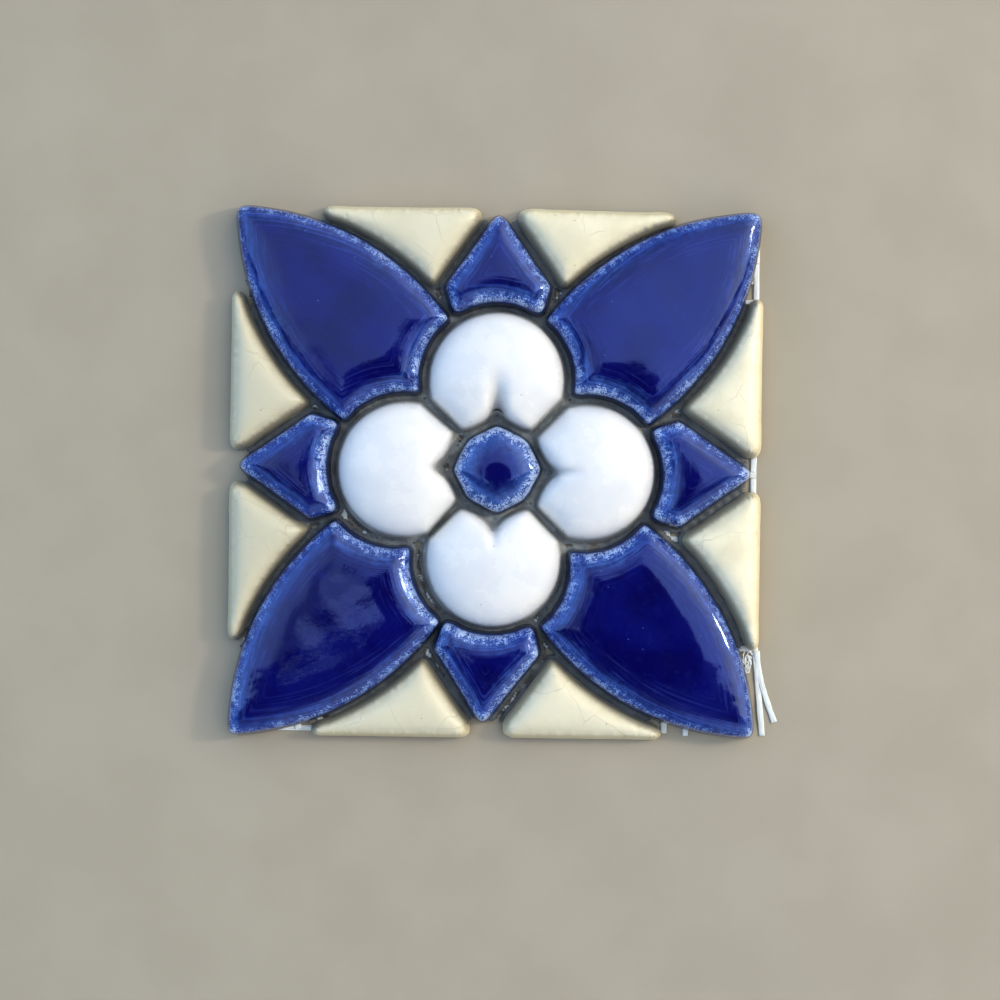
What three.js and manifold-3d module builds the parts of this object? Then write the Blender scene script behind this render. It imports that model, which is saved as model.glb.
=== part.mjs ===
// A hand-made ceramic mosaic panel, lying face up. Twenty-one glazed tiles make a four-petalled
// flower between four leaves and four darts, with eight wedges that square the design, and all
// of them are bonded to a fibreglass net. Millimetres, +Z up: the net's underside is z = 0 and the
// origin is the middle of the panel, with north along +Y and east along +X.
import * as THREE from "three";
import { mergeVertices } from "three/addons/utils/BufferGeometryUtils.js";
import Module from "manifold-3d";

const wasm = await Module();
wasm.setup();

// Driving dimensions, in millimetres and degrees
const panelSide = 100;
const leafJoint = 1.4; // open joint between a leaf and the wedge beside it
const dartJoint = 1.8; // open joint between a dart and the wedge beside it
const petalJoint = 1.5; // open joint between a petal and the leaf or dart outside it
const petalGap = 1.3; // open joint between two petals
const bossJoint = 1.4; // open joint between the boss and the tips of the petals' lobes
const wallDraft = 0.15; // lean of every tile's wall, from its foot to its shoulder

// A tile's wall is the height of its shoulder, and its height is that of the flat or the summit
// above. In between it rolls in by a width, or domes over a share of the way to its middle.
const boss = { tip: 8.4, bulge: 1.9, corner: 1, wall: 3.8, height: 6.7, roll: 2.4 };
const petal = {
  reach: 17, // from the panel's middle to the middle of the petal's disc
  radius: 12.95,
  lobe: 10,
  notch: 11.3,
  corner: 1.3,
  cleft: 0.5,
  wall: 3,
  height: 7.8,
  dome: 0.8,
};
const leaf = {
  arc: 49.8,
  setback: 0.6, // from the panel's edge to the leaf's tip
  corner: 0.9,
  tipCorner: 1.5,
  wall: 3.8,
  height: 6.6,
  roll: 2,
  crown: 0.4,
  crownInset: 4.2,
  middleShare: 0.62, // of the way from the panel's middle to the leaf's tip
};
const dart = {
  setback: 0.7, // from the panel's edge to the dart's tip
  side: 6.36, // from the dart's foot to its shoulder
  flare: 16.3, // outward lean of that side, in degrees
  clearance: 0.5, // past a leaf's arc, at the dart's foot
  corner: 1.5,
  wall: 3.8,
  height: 6.7,
  roll: 2.1,
};
const wedge = { corner: 1.8, innerCorner: 1.1, outerCorner: 1.1, wall: 3.2, height: 5.8, roll: 2.6 };
const net = { thickness: 0.5, width: 1.2, pitch: 8.16 };
const netSetback = { west: 2.4, east: 0.3, south: 0.3, north: 3.8 }; // from the panel's edges
const stray = { width: 1.1, thickness: 0.3, length: 11.4, root: 13.5, splay: 24 };

const half = panelSide / 2;
const leafTip = half - leaf.setback;
const dartTip = half - dart.setback;
const sharpest = 0.3; // smallest corner radius left on an outline that is drawn in

// Straight steps along each kind of side, each corner and each rolled rim
const filletSteps = 2;
const rollSteps = 3;
const bossSideSteps = 5;
const petalDiscSteps = 22;
const petalFlatSteps = 3;
const petalLobeSteps = 3;
const leafArcSteps = 8;
const leafHollowSteps = 5;
const dartLongSteps = 3;
const dartShortSteps = 2;
const dartHollowSteps = 6;
const wedgeEdgeSteps = 5;
const wedgeDartSteps = 4;
const wedgeHollowSteps = 7;

// How far each tile lies from its drawn place, as the maker's hand left it
const laid = {
  centre_boss: { east: 0.3, north: 0.4, turn: 2 },
  petal_north: { east: 0, north: 0.2, turn: 1 },
  petal_west: { east: 0, north: 0.2, turn: 4 },
  petal_south: { east: -0.2, north: 0.5, turn: 0 },
  petal_east: { east: 0.2, north: 0.1, turn: 1 },
  dart_west: { east: 0, north: 0.5, turn: 0 },
  dart_south: { east: -1.2, north: 1, turn: -2.8 },
  dart_east: { east: -0.2, north: 0, turn: 0.8 },
  leaf_south_west: { east: -0.8, north: -0.4, turn: 1.7 },
  leaf_south_east: { east: -0.3, north: -0.3, turn: 0.5 },
  wedge_north_east: { east: 0.3, north: -0.6, turn: -1 },
  wedge_north_west: { east: 0, north: -0.4, turn: 0.5 },
  wedge_west_north: { east: -0.2, north: 0.2, turn: 0 },
  wedge_west_south: { east: 0, north: 0.8, turn: 0.5 },
  wedge_south_west: { east: -0.9, north: -0.2, turn: 0 },
  wedge_south_east: { east: -1.2, north: 0, turn: 0 },
  wedge_east_south: { east: 0.1, north: 0.1, turn: 0 },
};

const vec = (x, y) => new THREE.Vector2(x, y);
const origin = vec(0, 0);
const mirrorX = (p) => vec(-p.x, p.y);

// Sides of an outline. The tile lies behind a line's outward normal, inside an arc's circle and
// outside a hollow's circle.
function line(point, outward, steps = 1) {
  const normal = outward.clone().normalize();
  return { normal, reach: normal.dot(point), steps };
}

function arc(centre, radius, steps) {
  return { centre, radius, bend: 1, steps };
}

function hollow(centre, radius, steps) {
  return { centre, radius, bend: -1, steps };
}

// The side, moved into the tile by a distance.
function moved(side, inset) {
  if (side.normal) return { ...side, reach: side.reach - inset };
  return { ...side, radius: side.radius - side.bend * inset };
}

function nearest(side, p) {
  if (side.normal) return p.clone().addScaledVector(side.normal, side.reach - side.normal.dot(p));
  return p.clone().sub(side.centre).setLength(side.radius).add(side.centre);
}

// Where two sides cross, at the crossing nearest to a point.
function meeting(a, b, near) {
  if (a.normal && b.normal) {
    const across = a.normal.cross(b.normal);
    return vec(
      (a.reach * b.normal.y - b.reach * a.normal.y) / across,
      (b.reach * a.normal.x - a.reach * b.normal.x) / across,
    );
  }
  if (b.normal) return meeting(b, a, near);
  if (!a.normal) {
    const apart = b.centre.clone().sub(a.centre);
    const along = (a.radius ** 2 - b.radius ** 2 + apart.lengthSq()) / (2 * apart.length());
    const chord = line(a.centre.clone().add(apart.clone().setLength(along)), apart);
    return meeting(chord, b, near);
  }
  const foot = nearest(a, b.centre);
  const reach = Math.sqrt(b.radius ** 2 - foot.distanceToSquared(b.centre));
  const way = vec(-a.normal.y, a.normal.x).multiplyScalar(reach);
  const ends = [foot.clone().add(way), foot.clone().sub(way)];
  return ends[0].distanceTo(near) < ends[1].distanceTo(near) ? ends[0] : ends[1];
}

// Points of a circular sweep between two points, without the last one.
function sweep(centre, start, end, counterclockwise, steps) {
  const from = start.clone().sub(centre);
  const turn = (2 * Math.PI + end.clone().sub(centre).angle() - from.angle()) % (2 * Math.PI);
  const total = counterclockwise ? turn : turn - 2 * Math.PI;
  return Array.from({ length: steps }, (_, i) =>
    from.clone().rotateAround(origin, (total * i) / steps).add(centre),
  );
}

// The outline of a tile, drawn in by an inset: its sides run counterclockwise, and corner i rounds
// off sides i and i + 1. A notch keeps its radius, so that its valley runs on into the tile.
function outline(shape, inset) {
  const count = shape.sides.length;
  const drawn = shape.sides.map((side) => moved(side, inset));
  const fillets = shape.corners.map((corner, i) => {
    const radius = corner.notch ? corner.radius : Math.max(corner.radius - inset, sharpest);
    const depth = corner.notch ? -radius : radius;
    const before = drawn[i];
    const after = drawn[(i + 1) % count];
    const centre = meeting(moved(before, depth), moved(after, depth), corner.near);
    return { centre, start: nearest(before, centre), end: nearest(after, centre), notch: corner.notch };
  });
  const points = [];
  fillets.forEach((fillet, i) => {
    points.push(...sweep(fillet.centre, fillet.start, fillet.end, !fillet.notch, filletSteps));
    const side = drawn[(i + 1) % count];
    const next = fillets[(i + 1) % count].start;
    if (side.normal)
      for (let k = 0; k < side.steps; k++) points.push(fillet.end.clone().lerp(next, k / side.steps));
    else points.push(...sweep(side.centre, fillet.end, next, side.bend > 0, side.steps));
  });
  return points;
}

// A tile's rings: foot, shoulder, then a quarter-round that either rolls in by a fixed width or
// domes over a share of the way to the tile's middle, and any crown.
function profile(tile) {
  const rings = [{ inset: 0, share: 0, z: 0 }];
  for (let i = 0; i <= rollSteps; i++) {
    const angle = ((Math.PI / 2) * i) / rollSteps;
    const run = 1 - Math.cos(angle);
    rings.push({
      inset: wallDraft + (tile.roll ?? 0) * run,
      share: (tile.dome ?? 0) * run,
      z: tile.wall + (tile.height - tile.wall) * Math.sin(angle),
    });
  }
  if (tile.crown) rings.push({ inset: tile.crownInset, share: 0, z: tile.height + tile.crown });
  return rings;
}

// A closed skin through rings of equally many points, about the tile's own middle.
function loft(shape, tile, mirrored = false) {
  const rings = profile(tile).map(({ inset, share, z }) => {
    const points = outline(shape, inset).map((p) => p.lerp(shape.middle, share));
    const ring = mirrored ? points.map(mirrorX).reverse() : points;
    const middle = mirrored ? mirrorX(shape.middle) : shape.middle;
    return ring.map((p) => new THREE.Vector3(p.x - middle.x, p.y - middle.y, z));
  });
  const size = rings[0].length;
  const faces = [];
  for (let r = 0; r + 1 < rings.length; r++)
    for (let i = 0; i < size; i++) {
      const j = (i + 1) % size;
      const [a, b, c, d] = [r * size + i, r * size + j, (r + 1) * size + j, (r + 1) * size + i];
      faces.push([a, b, c], [a, c, d]);
    }
  const cap = (ring, first, flip) => {
    for (const [a, b, c] of THREE.ShapeUtils.triangulateShape(ring.map((p) => vec(p.x, p.y)), []))
      faces.push(flip ? [first + a, first + c, first + b] : [first + a, first + b, first + c]);
  };
  cap(rings[0], 0, true);
  cap(rings.at(-1), (rings.length - 1) * size, false);
  const geometry = new THREE.BufferGeometry().setFromPoints(rings.flat());
  geometry.setIndex(faces.flat());
  geometry.computeVertexNormals();
  return geometry;
}

// Boss: four bulged sides between blunt tips that point at the petals' notches
function bossShape() {
  const chord = boss.tip * Math.SQRT2;
  const radius = chord ** 2 / (8 * boss.bulge) + boss.bulge / 2;
  const setback = (radius - boss.bulge - chord / 2) * Math.SQRT1_2;
  const sides = [];
  const corners = [];
  for (let quarter = 0; quarter < 4; quarter++) {
    const turn = (quarter * Math.PI) / 2;
    sides.push(arc(vec(-setback, -setback).rotateAround(origin, turn), radius, bossSideSteps));
    corners.push({ near: vec(0, boss.tip).rotateAround(origin, turn), radius: boss.corner });
  }
  return { sides, corners, middle: vec(0, 0) };
}

// North petal: a disc with flats against its two neighbours and a heart's notch facing the boss
const petalMiddle = vec(0, petal.reach);
const petalBite = petal.radius + petalJoint; // radius of the hollows that leaves and darts have round it

function petalShape() {
  const flatPoint = vec(0, petalGap * Math.SQRT1_2);
  const flat = (side) => line(flatPoint, vec(side, -1), petalFlatSteps);
  const flatLine = flat(1);
  const lobeTip = meeting(flatLine, arc(origin, boss.tip + bossJoint, 1), vec(petal.reach, petal.reach));
  const notch = vec(0, petal.notch);
  const chord = lobeTip.clone().sub(notch);
  const setback = Math.sqrt(petal.lobe ** 2 - chord.lengthSq() / 4);
  const lobeCentre = lobeTip.clone().add(notch).multiplyScalar(0.5)
    .add(vec(-chord.y, chord.x).setLength(setback));
  const lobe = (middle) => arc(middle, petal.lobe, petalLobeSteps);
  const cheek = meeting(flatLine, arc(petalMiddle, petal.radius, 1), vec(petal.reach, petal.reach));
  return {
    sides: [
      arc(petalMiddle, petal.radius, petalDiscSteps),
      flat(-1),
      lobe(mirrorX(lobeCentre)),
      lobe(lobeCentre),
      flat(1),
    ],
    corners: [
      { near: mirrorX(cheek), radius: petal.corner },
      { near: mirrorX(lobeTip), radius: petal.corner },
      { near: notch, radius: petal.cleft, notch: true },
      { near: lobeTip, radius: petal.corner },
      { near: cheek, radius: petal.corner },
    ],
    middle: petalMiddle,
  };
}

// North-east leaf: two outer arcs that leave its tip along the panel's edges, and two hollows round
// the petals
const northArc = vec(leafTip, leafTip - leaf.arc);
const eastArc = vec(leafTip - leaf.arc, leafTip);

function leafShape() {
  const eastPetal = vec(petal.reach, 0);
  const besideNorth = arc(petalMiddle, petalBite, 1);
  const outer = meeting(arc(northArc, leaf.arc, 1), besideNorth, vec(0, half));
  const inner = meeting(besideNorth, arc(eastPetal, petalBite, 1), vec(half, half));
  return {
    sides: [
      arc(northArc, leaf.arc, leafArcSteps),
      hollow(petalMiddle, petalBite, leafHollowSteps),
      hollow(eastPetal, petalBite, leafHollowSteps),
      arc(eastArc, leaf.arc, leafArcSteps),
    ],
    corners: [
      { near: outer, radius: leaf.corner },
      { near: inner, radius: leaf.corner },
      { near: vec(outer.y, outer.x), radius: leaf.corner },
      { near: vec(leafTip, leafTip), radius: leaf.tipCorner },
    ],
    middle: vec(leafTip, leafTip).multiplyScalar(leaf.middleShare),
  };
}

// North dart: a kite whose foot is hollowed round the petal and stands between the leaves' corners.
// Its east half runs from the foot up the short side to the shoulder, then along the long side to
// the tip.
const dartApex = vec(0, dartTip);
const besideLeaf = arc(northArc, leaf.arc + dart.clearance, 1);
const dartFoot = meeting(besideLeaf, arc(petalMiddle, petalBite, 1), vec(0, half));
const dartLean = vec(0, dart.side).rotateAround(origin, -THREE.MathUtils.degToRad(dart.flare));
const dartShoulder = dartFoot.clone().add(dartLean);
const longOutward = vec(dartApex.y - dartShoulder.y, dartShoulder.x).normalize();
const shortOutward = vec(dartLean.y, -dartLean.x);

function dartShape() {
  const long = (side) => line(dartApex, vec(side * longOutward.x, longOutward.y), dartLongSteps);
  const short = (side) =>
    line(vec(side * dartFoot.x, dartFoot.y), vec(side * shortOutward.x, shortOutward.y), dartShortSteps);
  return {
    sides: [long(1), long(-1), short(-1), hollow(petalMiddle, petalBite, dartHollowSteps), short(1)],
    corners: [
      { near: dartApex, radius: dart.corner },
      { near: mirrorX(dartShoulder), radius: dart.corner },
      { near: mirrorX(dartFoot), radius: dart.corner },
      { near: dartFoot, radius: dart.corner },
      { near: dartShoulder, radius: dart.corner },
    ],
    middle: vec(0, dartShoulder.y),
  };
}

// Wedge east of the north dart: one side along the panel's edge, one along the dart, one round the leaf
function wedgeShape() {
  const besideDart = dartApex.clone().addScaledVector(longOutward, dartJoint);
  const dartSide = line(besideDart, longOutward.clone().negate(), wedgeDartSteps);
  const edge = line(vec(0, half), vec(0, 1), wedgeEdgeSteps);
  const leafSide = hollow(northArc, leaf.arc + leafJoint, wedgeHollowSteps);
  const inner = meeting(dartSide, leafSide, vec(0, half / 2));
  const near = meeting(edge, dartSide, origin);
  const far = meeting(edge, leafSide, vec(0, half));
  return {
    sides: [edge, dartSide, leafSide],
    corners: [
      { near, radius: wedge.corner },
      { near: inner, radius: wedge.innerCorner },
      { near: far, radius: wedge.outerCorner },
    ],
    middle: near.clone().add(inner).add(far).multiplyScalar(1 / 3),
  };
}

// Net: flat strands fused where they cross on a square grid, cut close along the south and east and
// left as stubs along the west and north, with one strand frayed loose at the south-east
function solidOf(geometry) {
  geometry.deleteAttribute("normal");
  geometry.deleteAttribute("uv");
  const merged = mergeVertices(geometry);
  return new wasm.Manifold(
    new wasm.Mesh({
      numProp: 3,
      vertProperties: merged.attributes.position.array,
      triVerts: new Uint32Array(merged.index.array),
    }),
  );
}

function geometryOf(solid) {
  const made = solid.getMesh();
  const geometry = new THREE.BufferGeometry();
  geometry.setAttribute("position", new THREE.BufferAttribute(made.vertProperties, 3));
  geometry.setIndex(new THREE.BufferAttribute(made.triVerts, 1));
  geometry.computeVertexNormals();
  return geometry;
}

// Strand positions on the grid that fall between two limits.
function gridLines(low, high) {
  const inside = net.width / 2;
  const first = Math.ceil((low + inside) / net.pitch);
  const last = Math.floor((high - inside) / net.pitch);
  return Array.from({ length: last - first + 1 }, (_, i) => (first + i) * net.pitch);
}

// A flat sheet made of the filled cells between break lines, with walls where a cell has no neighbour.
function cellSheet(xs, ys, isFilled, thickness) {
  const filled = (i, j) => i >= 0 && j >= 0 && i < xs.length - 1 && j < ys.length - 1 && isFilled(i, j);
  const corners = [];
  const quad = (a, b, c, d) => corners.push(a, b, c, a, c, d);
  const at = (i, j, z) => new THREE.Vector3(xs[i], ys[j], z);
  const wall = (i, j, k, l) => quad(at(i, j, 0), at(k, l, 0), at(k, l, thickness), at(i, j, thickness));
  for (let i = 0; i < xs.length - 1; i++)
    for (let j = 0; j < ys.length - 1; j++) {
      if (!filled(i, j)) continue;
      const [z, top] = [0, thickness];
      quad(at(i, j, top), at(i + 1, j, top), at(i + 1, j + 1, top), at(i, j + 1, top));
      quad(at(i, j, z), at(i, j + 1, z), at(i + 1, j + 1, z), at(i + 1, j, z));
      if (!filled(i, j - 1)) wall(i, j, i + 1, j);
      if (!filled(i + 1, j)) wall(i + 1, j, i + 1, j + 1);
      if (!filled(i, j + 1)) wall(i + 1, j + 1, i, j + 1);
      if (!filled(i - 1, j)) wall(i, j + 1, i, j);
    }
  return new THREE.BufferGeometry().setFromPoints(corners);
}

function netGeometry() {
  const edges = (x) => [x - net.width / 2, x + net.width / 2];
  const west = netSetback.west - half;
  const north = half - netSetback.north;
  const columns = gridLines(west, half - netSetback.east);
  const rows = gridLines(netSetback.south - half, north);
  const xs = [west, ...columns.flatMap(edges)];
  const ys = [...rows.flatMap(edges), north];
  const sheet = cellSheet(xs, ys, (i, j) => i % 2 === 1 || j % 2 === 0, net.thickness);
  const loose = new THREE.BoxGeometry(stray.width, stray.length, stray.thickness);
  loose.translate(0, -stray.length / 2, net.thickness / 2);
  loose.rotateZ(THREE.MathUtils.degToRad(stray.splay));
  loose.translate(columns.at(-1), stray.root - half, 0);
  return geometryOf(solidOf(sheet).add(solidOf(loose)));
}

const glaze = (color) => new THREE.MeshStandardMaterial({ color, roughness: 0.12, metalness: 0 });
const cobalt = glaze(0x16207a);
const white = glaze(0xf2f4f5);
const cream = glaze(0xe4dec2);
const fibreglass = new THREE.MeshStandardMaterial({ color: 0xe6ebe8, roughness: 0.6, metalness: 0 });

const panel = new THREE.Group();

function lay(name, geometry, material, middle, quarter) {
  const hand = { east: 0, north: 0, turn: 0, ...laid[name] };
  const angle = (quarter * Math.PI) / 2;
  const spot = middle.clone().rotateAround(origin, angle);
  const tile = new THREE.Mesh(geometry, material);
  tile.name = name;
  tile.position.set(spot.x + hand.east, spot.y + hand.north, net.thickness);
  tile.rotation.z = angle + THREE.MathUtils.degToRad(hand.turn);
  panel.add(tile);
}

const backing = new THREE.Mesh(netGeometry(), fibreglass);
backing.name = "fibreglass_net";
panel.add(backing);

const bossOutline = bossShape();
const petalOutline = petalShape();
const leafOutline = leafShape();
const dartOutline = dartShape();
const wedgeOutline = wedgeShape();
const petalGeometry = loft(petalOutline, petal);
const leafGeometry = loft(leafOutline, leaf);
const dartGeometry = loft(dartOutline, dart);
const wedgeGeometry = loft(wedgeOutline, wedge);
const mirroredWedge = loft(wedgeOutline, wedge, true);

// Quarter turns run counterclockwise from north, and a wedge is named after its edge and its end.
const compass = ["north", "west", "south", "east"];
lay("centre_boss", loft(bossOutline, boss), cobalt, bossOutline.middle, 0);
compass.forEach((edge, quarter) => {
  const ahead = compass[(quarter + 1) % 4];
  const behind = compass[(quarter + 3) % 4];
  const corner = quarter % 2 ? `${behind}_${edge}` : `${edge}_${behind}`;
  lay(`petal_${edge}`, petalGeometry, white, petalOutline.middle, quarter);
  lay(`dart_${edge}`, dartGeometry, cobalt, dartOutline.middle, quarter);
  lay(`leaf_${corner}`, leafGeometry, cobalt, leafOutline.middle, quarter);
  lay(`wedge_${edge}_${behind}`, wedgeGeometry, cream, wedgeOutline.middle, quarter);
  lay(`wedge_${edge}_${ahead}`, mirroredWedge, cream, mirrorX(wedgeOutline.middle), quarter);
});

export default panel;
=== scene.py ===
import math

import bpy
import numpy as np
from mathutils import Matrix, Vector
from mathutils.geometry import delaunay_2d_cdt


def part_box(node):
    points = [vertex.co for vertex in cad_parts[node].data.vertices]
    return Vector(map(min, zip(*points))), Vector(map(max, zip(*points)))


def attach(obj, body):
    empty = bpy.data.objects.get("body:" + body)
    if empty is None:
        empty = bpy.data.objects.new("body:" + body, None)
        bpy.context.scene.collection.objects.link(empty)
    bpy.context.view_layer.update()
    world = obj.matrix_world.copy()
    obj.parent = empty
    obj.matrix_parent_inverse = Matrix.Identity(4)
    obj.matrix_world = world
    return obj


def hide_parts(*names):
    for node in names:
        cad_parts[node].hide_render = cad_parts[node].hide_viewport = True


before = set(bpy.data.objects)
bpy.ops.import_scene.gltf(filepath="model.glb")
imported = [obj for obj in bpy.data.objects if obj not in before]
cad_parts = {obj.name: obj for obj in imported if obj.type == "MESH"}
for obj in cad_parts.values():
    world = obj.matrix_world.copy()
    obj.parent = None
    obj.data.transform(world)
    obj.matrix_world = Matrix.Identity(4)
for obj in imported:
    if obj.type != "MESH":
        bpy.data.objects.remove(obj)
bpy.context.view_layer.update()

MM = 0.001

# Spacing of the points on a tile's outline, and how many points are measured from a ring at once
SPACING = 0.26
BATCH = 1500

# Each kind of tile: its slot, its wall and its summit above the net, how thin its glaze usually runs
# at the rim, and how far its wall leans out. A domed top has the power of its dome, and a rolled top
# has the width of the roll, the rise behind it and the height of the lumps on it.
TILE_KINDS = {
    "boss": {
        "slot": "cobalt_glaze", "wall": 3.4, "height": 6.7, "thin": 0.95, "flare": 0.35,
        "dome": 4.2,
    },
    "petal": {
        "slot": "white_glaze", "wall": 2.2, "height": 7.8, "thin": 0.4, "flare": 0.45,
        "dome": 2.6,
    },
    "leaf": {
        "slot": "cobalt_glaze", "wall": 3.5, "height": 6.55, "thin": 0.45, "flare": 0.4,
        "roll": 2.8, "crown": 0.35, "lumps": 0.11,
    },
    "dart": {
        "slot": "cobalt_glaze", "wall": 3.5, "height": 6.5, "thin": 0.5, "flare": 0.4,
        "roll": 2.5, "crown": 0.25, "lumps": 0.11,
    },
    "wedge": {
        "slot": "cream_glaze", "wall": 2.3, "height": 5.5, "thin": 0.4, "flare": 0.35,
        "roll": 3.4, "crown": 0.25, "lumps": 0.015,
    },
}

# How far the shoulder lies in from the outline, and where the domed tiles have their summits: the
# boss's from its middle, a petal's from the panel's
SHOULDER = 0.22
BOSS_SUMMIT = np.array([-0.35, -0.75])
PETAL_SUMMIT = 17.0

# A rolled top's rings of points, as shares of the roll's width; those below the dense share keep
# every point of the outline, and the rest every second one
RING_SHARES = [0.05, 0.11, 0.18, 0.26, 0.35, 0.45, 0.57, 0.7, 0.85, 1.0, 1.18]
DENSE_SHARE = 0.3

# The grid that fills a rolled top, how far in its crown still rises, how often its heights are
# evened out, and the number of a dome's rings
GRID_STEP = 0.62
CROWN_REACH = 6.6
RELAX_TIMES = 14
DOME_RINGS = 30

# The wall's rings from the foot up: how far each leans out, as a share of the flare, and its height
# as a length and as a share of the wall
WALL_RINGS = [
    (0.8, 0.0, 0.0),
    (1.0, 0.25, 0.0),
    (0.9, 0.7, 0.0),
    (0.6, 0.0, 0.36),
    (0.25, 0.0, 0.66),
    (-0.1, 0.0, 0.88),
]

# The valley that runs in from each petal's notch: its depth, its length, its half width and the strength
# of the painted shade in it
CREASES = {
    "petal_north": (3.6, 9.5, 1.2, 0.8),
    "petal_east": (1.7, 6.0, 0.6, 0.4),
    "petal_south": (1.5, 5.0, 0.8, 0.35),
    "petal_west": (0.7, 3.5, 0.7, 0.3),
}

# Painted shade: how much darker and greyer some of the cream tiles are than the rest; and how calm the
# boss's rim is
TILE_SHADE_AND_CALM = {
    "centre_boss": 1.0,
    "wedge_west_north": 0.9,
    "wedge_west_south": 0.95,
    "wedge_south_west": 0.6,
    "wedge_north_west": 0.5,
    "wedge_south_east": 0.35,
    "wedge_north_east": 0.1,
}

# Tilt of each tile's glazed face, in degrees: rise towards the east and towards the north
FACE_TILT = {
    "leaf_north_east": (0.2, -0.4),
    "leaf_north_west": (-0.2, 0.1),
    "leaf_south_east": (0.0, 0.2),
    "leaf_south_west": (0.1, 0.2),
}

# The net's top, its mesh and its outermost line, counted from the middle
NET_TOP = 0.5
PITCH = 4.08
OUTER_LINE = 12
STRAND_WIDTH = 1.15
STRAND_THICKNESS = 0.25

# A strand's section as shares of its width and thickness, over its round top and back below
STRAND_SECTION = [
    (-0.5, 0.0),
    (-0.36, 0.42),
    (0.0, 0.5),
    (0.36, 0.42),
    (0.5, 0.0),
    (0.3, -0.5),
    (-0.3, -0.5),
]

# Where the net was cut back: the east ends of four rows and the south ends of the middle columns
ROW_ENDS = {-9: 48.7, -10: 46.8, -11: 47.6, -12: -31.5}
MIDDLE_COLUMNS_START = -46.6

# The strand that came loose at the south-east, as a cubic curve, and the tangle of filaments by it
LOOSE_STRAND = [(50.0, -33.2, 0.38), (50.3, -38.0, 0.38), (51.3, -40.8, 0.2), (53.55, -46.7, 0.15)]
LOOSE_WIDTH = 1.1
TANGLE = (48.3, -35.3)
FILAMENTS = 18
FILAMENT_WIDTH = 0.22


# Plane shapes
def box_of(name):
    """The low and the high corner of a node's box."""
    return [np.array(corner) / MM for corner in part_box(name)]


def welded(name):
    """A node's welded points, and its triangles."""
    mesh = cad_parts[name].data
    numbers = np.empty(len(mesh.vertices) * 3)
    mesh.vertices.foreach_get("co", numbers)
    points, index = np.unique(np.round(numbers.reshape(-1, 3) / MM, 3), axis=0, return_inverse=True)
    mesh.calc_loop_triangles()
    corners = np.empty(len(mesh.loop_triangles) * 3, int)
    mesh.loop_triangles.foreach_get("vertices", corners)
    return points, index.ravel()[corners].reshape(-1, 3)


def foot_outline(name):
    """The outline of a tile's foot, counterclockwise seen from above."""
    points, triangles = welded(name)
    tolerance = 0.01
    low = points[:, 2] < points[:, 2].min() + tolerance
    step = {}
    edges = set()
    for a, b, c in triangles[low[triangles].all(axis=1)]:
        edges.update(((a, b), (b, c), (c, a)))
    for a, b in edges:
        if (b, a) not in edges:
            step[a] = b
    start = min(step)
    ring = [start]
    while step[ring[-1]] != start:
        ring.append(step[ring[-1]])
    ring = points[ring, :2]
    x, y = ring.T
    area = np.sum(x * np.roll(y, -1) - y * np.roll(x, -1))
    return ring if area > 0 else ring[::-1]


def smooth_ring(ring):
    """A closed centripetal curve through the ring's points, at an even spacing."""
    before, after, beyond = np.roll(ring, 1, 0), np.roll(ring, -1, 0), np.roll(ring, -2, 0)
    samples = 12
    share = np.linspace(0, 1, samples, endpoint=False)[:, None, None]

    def gap(a, b):
        return np.sqrt(np.linalg.norm(b - a, axis=1))[None, :, None] + 1e-9

    t0 = 0.0
    t1 = t0 + gap(before, ring)
    t2 = t1 + gap(ring, after)
    t3 = t2 + gap(after, beyond)
    at = t1 + (t2 - t1) * share
    a1 = (t1 - at) / (t1 - t0) * before + (at - t0) / (t1 - t0) * ring
    a2 = (t2 - at) / (t2 - t1) * ring + (at - t1) / (t2 - t1) * after
    a3 = (t3 - at) / (t3 - t2) * after + (at - t2) / (t3 - t2) * beyond
    b1 = (t2 - at) / (t2 - t0) * a1 + (at - t0) / (t2 - t0) * a2
    b2 = (t3 - at) / (t3 - t1) * a2 + (at - t1) / (t3 - t1) * a3
    curve = (t2 - at) / (t2 - t1) * b1 + (at - t1) / (t2 - t1) * b2
    curve = curve.transpose(1, 0, 2).reshape(-1, 2)
    closed = np.vstack([curve, curve[:1]])
    along = np.concatenate([[0], np.cumsum(np.linalg.norm(np.diff(closed, axis=0), axis=1))])
    fewest = 24
    count = max(fewest, int(round(along[-1] / SPACING)))
    want = np.linspace(0, along[-1], count, endpoint=False)
    return np.column_stack([np.interp(want, along, closed[:, k]) for k in (0, 1)])


def ring_normals(ring):
    """Outward normals of a counterclockwise ring."""
    ahead = np.roll(ring, -1, 0) - np.roll(ring, 1, 0)
    ahead /= np.linalg.norm(ahead, axis=1)[:, None]
    return np.column_stack([ahead[:, 1], -ahead[:, 0]])


def smoothed(values, sigma):
    """Values on a closed ring, smoothed by a Gaussian of sigma samples."""
    frequency = np.fft.fftfreq(len(values))
    keep = np.exp(-2 * (np.pi * frequency * sigma) ** 2)
    keep = keep if values.ndim == 1 else keep[:, None]
    return np.real(np.fft.ifft(np.fft.fft(values, axis=0) * keep, axis=0))


def ring_noise(count, reach, rng):
    """Noise on a closed ring, smooth over a reach, about -1 to 1."""
    noise = smoothed(rng.normal(size=count), reach / SPACING)
    return noise / (2.2 * noise.std() + 1e-12)


def to_ring(ring, points):
    """Distance from points to a closed ring, and the index of the nearest side."""
    side = np.roll(ring, -1, 0) - ring
    length = (side**2).sum(1)
    far = np.empty(len(points))
    which = np.empty(len(points), int)
    for i in range(0, len(points), BATCH):
        some = points[i : i + BATCH, None, :]
        share = np.clip(((some - ring) * side).sum(2) / length, 0, 1)
        square = ((some - ring - share[..., None] * side) ** 2).sum(2)
        nearest = square.argmin(1)
        which[i : i + BATCH] = nearest
        far[i : i + BATCH] = np.sqrt(square[np.arange(len(nearest)), nearest])
    return far, which


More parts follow.
